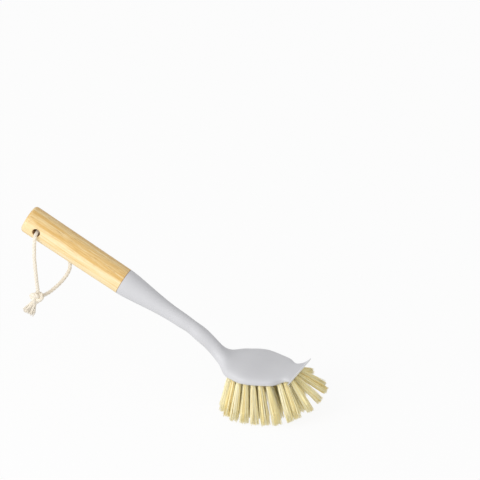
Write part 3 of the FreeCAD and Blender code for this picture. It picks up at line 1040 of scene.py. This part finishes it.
@dataclass
class HangingLoop:
    """Hanging cord through the handle, its knot and its two frayed ends."""

    hole: Vector
    rope: Rope
    steps: int = 24
    knot_turn: float = math.radians(22.8)
    knot_ring: float = 3.2 * MM
    knot_swell: float = 1.6 * MM
    knot_cord: float = 4.1 * MM
    knot_rise: float = 1.95 * MM
    knot_squash: float = 0.86
    knot_controls: int = 24
    knot_steps: int = 10
    knot_strand_share: float = 0.31
    knot_offset_share: float = 0.19
    yarns: int = 66
    yarn_radius: float = 0.31 * MM
    yarn_sides: int = 4
    yarn_points: int = 9
    end_radius: float = 1.45 * MM
    fray_radius: float = 2.9 * MM
    fray_turn: float = 0.9
    fray_power: float = 1.5
    fray_stray: float = 0.35 * MM
    cut_back: float = 0.4
    cut_uneven: float = 0.5
    yarn_wave: float = 0.2 * MM
    seed: int = 911
    finish: Cotton = Cotton()

    # The cord's route from the middle of its hole, in mm, with its two ends tucked into the knot
    ROUTE = (
        (0.2, -7.6, -63.0),
        (0.3, -8.8, -57.4),
        (0.4, -12.0, -46.0),
        (0.1, -14.1, -33.5),
        (-0.6, -15.0, -21.0),
        (-0.5, -14.8, -9.4),
        (0.0, -14.4, -0.8),
        (0.4, 0.0, -0.4),
        (0.0, 14.4, -0.8),
        (1.8, 15.9, -8.6),
        (6.4, 19.0, -20.0),
        (12.6, 21.8, -32.0),
        (17.6, 22.8, -44.6),
        (15.2, 18.0, -53.4),
        (9.6, 8.6, -60.4),
        (5.0, -1.2, -63.4),
        (1.4, -7.0, -63.6),
    )
    KNOT = (-0.2, -10.3, -62.7)
    ENDS = {"cord_end_left": (-9.6, -10.6, -77.4), "cord_end_right": (-5.2, -9.6, -79.2)}

    def place(self, point: tuple[float, float, float]) -> Vector:
        """A point given in mm from the cord hole, in the part's frame."""
        return self.hole + Vector(point) * MM

    def build(self) -> None:
        material = self.finish.build()
        line = Line(smooth_line("cord_route", [self.place(point) for point in self.ROUTE], self.steps, False))
        skin = Skin()
        self.rope.lay(skin, line)
        cord = link_mesh("hanging_cord_twisted", skin.mesh("hanging_cord_twisted"))
        settle(cord, Body.LOOP, Slot.CORD, material, "hanging_cord")
        on_it = [self.knot(material)]
        for index, (node, tip) in enumerate(self.ENDS.items()):
            on_it.append(self.end(node, self.place(tip), material, np.random.default_rng(self.seed + index)))
        LOG.info("cord length %.1f mm", line.length / MM)

    def knot(self, material: bpy.types.Material) -> bpy.types.Object:
        """Tie an overhand knot: three lobes that cross over and under each other.

        Args:
            material: The cord's material.

        Returns:
            The knot.
        """
        right = Vector((math.cos(self.knot_turn), math.sin(self.knot_turn), 0))
        near = Vector((math.sin(self.knot_turn), -math.cos(self.knot_turn), 0))
        up = Vector((0, 0, 1))
        route = []
        for step in range(self.knot_controls):
            turn = 2 * math.pi * step / self.knot_controls
            reach = self.knot_ring + self.knot_swell * math.cos(3 * turn)
            angle = 2 * turn - math.pi / 2
            across, height = reach * math.cos(angle), reach * math.sin(angle) * self.knot_squash
            depth = -self.knot_rise * math.sin(3 * turn)
            route.append(self.place(self.KNOT) + right * across + up * height + near * depth)
        skin = Skin()
        pulled_tight = replace(
            self.rope,
            diameter=self.knot_cord,
            strand_share=self.knot_strand_share,
            offset_share=self.knot_offset_share,
        )
        pulled_tight.lay(skin, Line(smooth_line("knot_route", route, self.knot_steps, True), True))
        piece = link_mesh("cord_knot_tied", skin.mesh("cord_knot_tied"))
        settle(piece, Body.LOOP, Slot.CORD, material, "cord_knot")
        return piece

    def end(
        self, node: str, tip: Vector, material: bpy.types.Material, draw: np.random.Generator
    ) -> bpy.types.Object:
        """Build one cord end that opens into loose yarns.

        Args:
            node: The end's CAD node.
            tip: Middle of its cut end.
            material: The cord's material.
            draw: The end's own seeded draws.

        Returns:
            The end.
        """
        start = np.array(self.place(self.KNOT))
        tip = np.array(tip)
        way = (tip - start) / np.linalg.norm(tip - start)
        first, second = [vector[0] for vector in perpendiculars(way[None])]
        steps = np.linspace(0, 1, self.yarn_points)[:, None]
        skin = Skin()
        for yarn in range(self.yarns):
            spread = math.sqrt((yarn + 0.5) / self.yarns)
            turn = yarn * EVEN_TURN
            out = first * math.cos(turn) + second * math.sin(turn)
            turned = turn + self.fray_turn
            twisted = first * math.cos(turned) + second * math.sin(turned)
            packed = out * self.end_radius * spread
            splayed = twisted * spread * self.fray_radius + draw.normal(0, self.fray_stray, 3)
            reach = way * draw.normal(-self.cut_back, self.cut_uneven) * MM
            line = start + (tip + reach - start) * steps + packed * (1 - steps)
            line = line + splayed * steps**self.fray_power
            line = line + draw.normal(0, self.yarn_wave, 3) * np.sin(steps * 2 * math.pi)
            skin.tube(Line(line), self.yarn_radius, self.yarn_sides)
        piece = link_mesh(f"{node}_frayed", skin.mesh(f"{node}_frayed"))
        settle(piece, Body.LOOP, Slot.CORD, material, node)
        return piece


@dataclass
class Studio:
    """Plain pale floor, soft light and a camera at the photograph's angle."""

    edge: Vector
    azimuth: float = math.radians(22.8)
    elevation: float = math.radians(28.6)
    pixels: int = 480
    pixels_per_mm: float = 1.188
    edge_right_px: float = 59.3
    edge_down_px: float = 130.6
    distance: float = 1.5
    fill_front: float = 1.08
    fill_back: float = 0.28
    fill_floor: float = 0.8
    key_watts: float = 5.4
    key_distance: float = 1.2
    key_size: float = 0.8
    key_aim: float = 0.07
    key_azimuth: float = math.radians(-28)
    key_elevation: float = math.radians(18)
    floor_size: float = 12.0
    floor_shadow: float = 0.1
    floor_pale: float = 0.9

    @staticmethod
    def direction(azimuth: float, elevation: float) -> Vector:
        """Unit vector from the object towards a viewer at these angles."""
        level = math.cos(elevation)
        return Vector((math.sin(azimuth) * level, -math.cos(azimuth) * level, math.sin(elevation)))

    def build(self) -> None:
        """Build the floor, the light and the camera."""
        self.floor()
        self.light()
        self.camera()
        bpy.context.scene.view_settings.view_transform = "Standard"

    def camera(self) -> None:
        """Place the camera so that the scraping edge lies where the photograph shows it."""
        back = self.direction(self.azimuth, self.elevation)
        turn = (-back).to_track_quat("-Z", "Y")
        right, up = turn @ Vector((1, 0, 0)), turn @ Vector((0, 1, 0))
        pixel = MM / self.pixels_per_mm
        centre = self.edge - right * self.edge_right_px * pixel + up * self.edge_down_px * pixel
        data = bpy.data.cameras.new("camera")
        data.type = "ORTHO"
        data.ortho_scale = self.pixels * pixel
        camera = bpy.data.objects.new("camera", data)
        camera.rotation_mode = "QUATERNION"
        camera.rotation_quaternion = turn
        camera.location = centre + back * self.distance
        bpy.context.scene.collection.objects.link(camera)
        bpy.context.scene.camera = camera

    def light(self) -> None:
        """Light the brush as in a light tent, brighter at the front left, with a large soft lamp there."""
        world = bpy.data.worlds.new("studio")
        bpy.context.scene.world = world
        world.use_nodes = True
        tree = world.node_tree
        tree.nodes.clear()
        rays = add_node(tree, "ShaderNodeLightPath")
        place = add_node(tree, "ShaderNodeTexCoord").outputs["Generated"]
        front = self.direction(self.key_azimuth, self.key_elevation)
        ahead = add_node(tree, "ShaderNodeVectorMath", {1: front}, {0: place}, operation="DOT_PRODUCT")
        fill = add_node(
            tree,
            "ShaderNodeMapRange",
            {"From Min": -1.0, "To Min": self.fill_back, "To Max": self.fill_front},
            {"Value": ahead.outputs["Value"]},
        )
        lit = add_node(
            tree, "ShaderNodeBackground", {"Color": grey(1.0)}, {"Strength": fill.outputs["Result"]}
        )
        seen = add_node(tree, "ShaderNodeBackground", {"Color": grey(1.0), "Strength": 1.0})
        either = add_node(
            tree,
            "ShaderNodeMath",
            links={0: rays.outputs["Is Camera Ray"], 1: rays.outputs["Is Glossy Ray"]},
            operation="MAXIMUM",
        )
        mixed = add_node(
            tree, "ShaderNodeMixShader",
            links={0: either.outputs["Value"], 1: lit.outputs["Background"], 2: seen.outputs["Background"]},
        )
        add_node(tree, "ShaderNodeOutputWorld", links={"Surface": mixed.outputs["Shader"]})
        data = bpy.data.lights.new("key", "AREA")
        data.shape = "DISK"
        data.size = self.key_size
        data.energy = self.key_watts
        lamp = bpy.data.objects.new("key", data)
        lamp.location = Vector((0, 0, self.key_aim)) + front * self.key_distance
        lamp.rotation_mode = "QUATERNION"
        lamp.rotation_quaternion = (-front).to_track_quat("-Z", "Y")
        bpy.context.scene.collection.objects.link(lamp)

    def floor(self) -> None:
        """Lay a wide pale floor that glows softly from below, shows white and keeps a soft shadow."""
        deselect_all()
        bpy.ops.mesh.primitive_plane_add(size=self.floor_size)
        floor = bpy.context.object
        floor.name = "floor"
        material = bpy.data.materials.new("paper_floor_white")
        material.use_nodes = True
        tree = material.node_tree
        tree.nodes.clear()
        rays = add_node(tree, "ShaderNodeLightPath")
        paper = add_node(tree, "ShaderNodeBsdfDiffuse", {"Color": grey(self.floor_pale)})
        seen = rays.outputs["Is Camera Ray"]
        glow = add_node(
            tree, "ShaderNodeMapRange", {"To Min": self.fill_floor, "To Max": 1.0}, {"Value": seen}
        )
        white = add_node(
            tree, "ShaderNodeEmission", {"Color": grey(1.0)}, {"Strength": glow.outputs["Result"]}
        )
        share = add_node(
            tree, "ShaderNodeMapRange", {"To Min": 1.0, "To Max": 1 - self.floor_shadow}, {"Value": seen}
        )
        mixed = add_node(
            tree, "ShaderNodeMixShader",
            links={0: share.outputs["Result"], 1: paper.outputs["BSDF"], 2: white.outputs["Emission"]},
        )
        add_node(tree, "ShaderNodeOutputMaterial", links={"Surface": mixed.outputs["Shader"]})
        floor.data.materials.append(material)


def main() -> None:
    """Build the brush's looks in order and note the size of what was built."""
    logging.basicConfig(level=logging.INFO, format="%(message)s")
    hole = Vector(frame["joints"][0]["pos_m"])
    butt = Vector(frame["record"]["mounts"][0]["pos_m"])
    axis = Vector(frame["record"]["mounts"][0]["axis"])
    handle = Handle(Vector(), hole)
    handle.seam = butt - axis * handle.length
    edge = Vector(SCRAPING_EDGE_MM) * MM
    Studio(edge).build()
    HangingLoop(hole, Rope()).build()
    handle.build()
    Moulding(edge, handle.seam, -axis).build()
    Tufts().build()


if __name__ == "__main__":
    main()
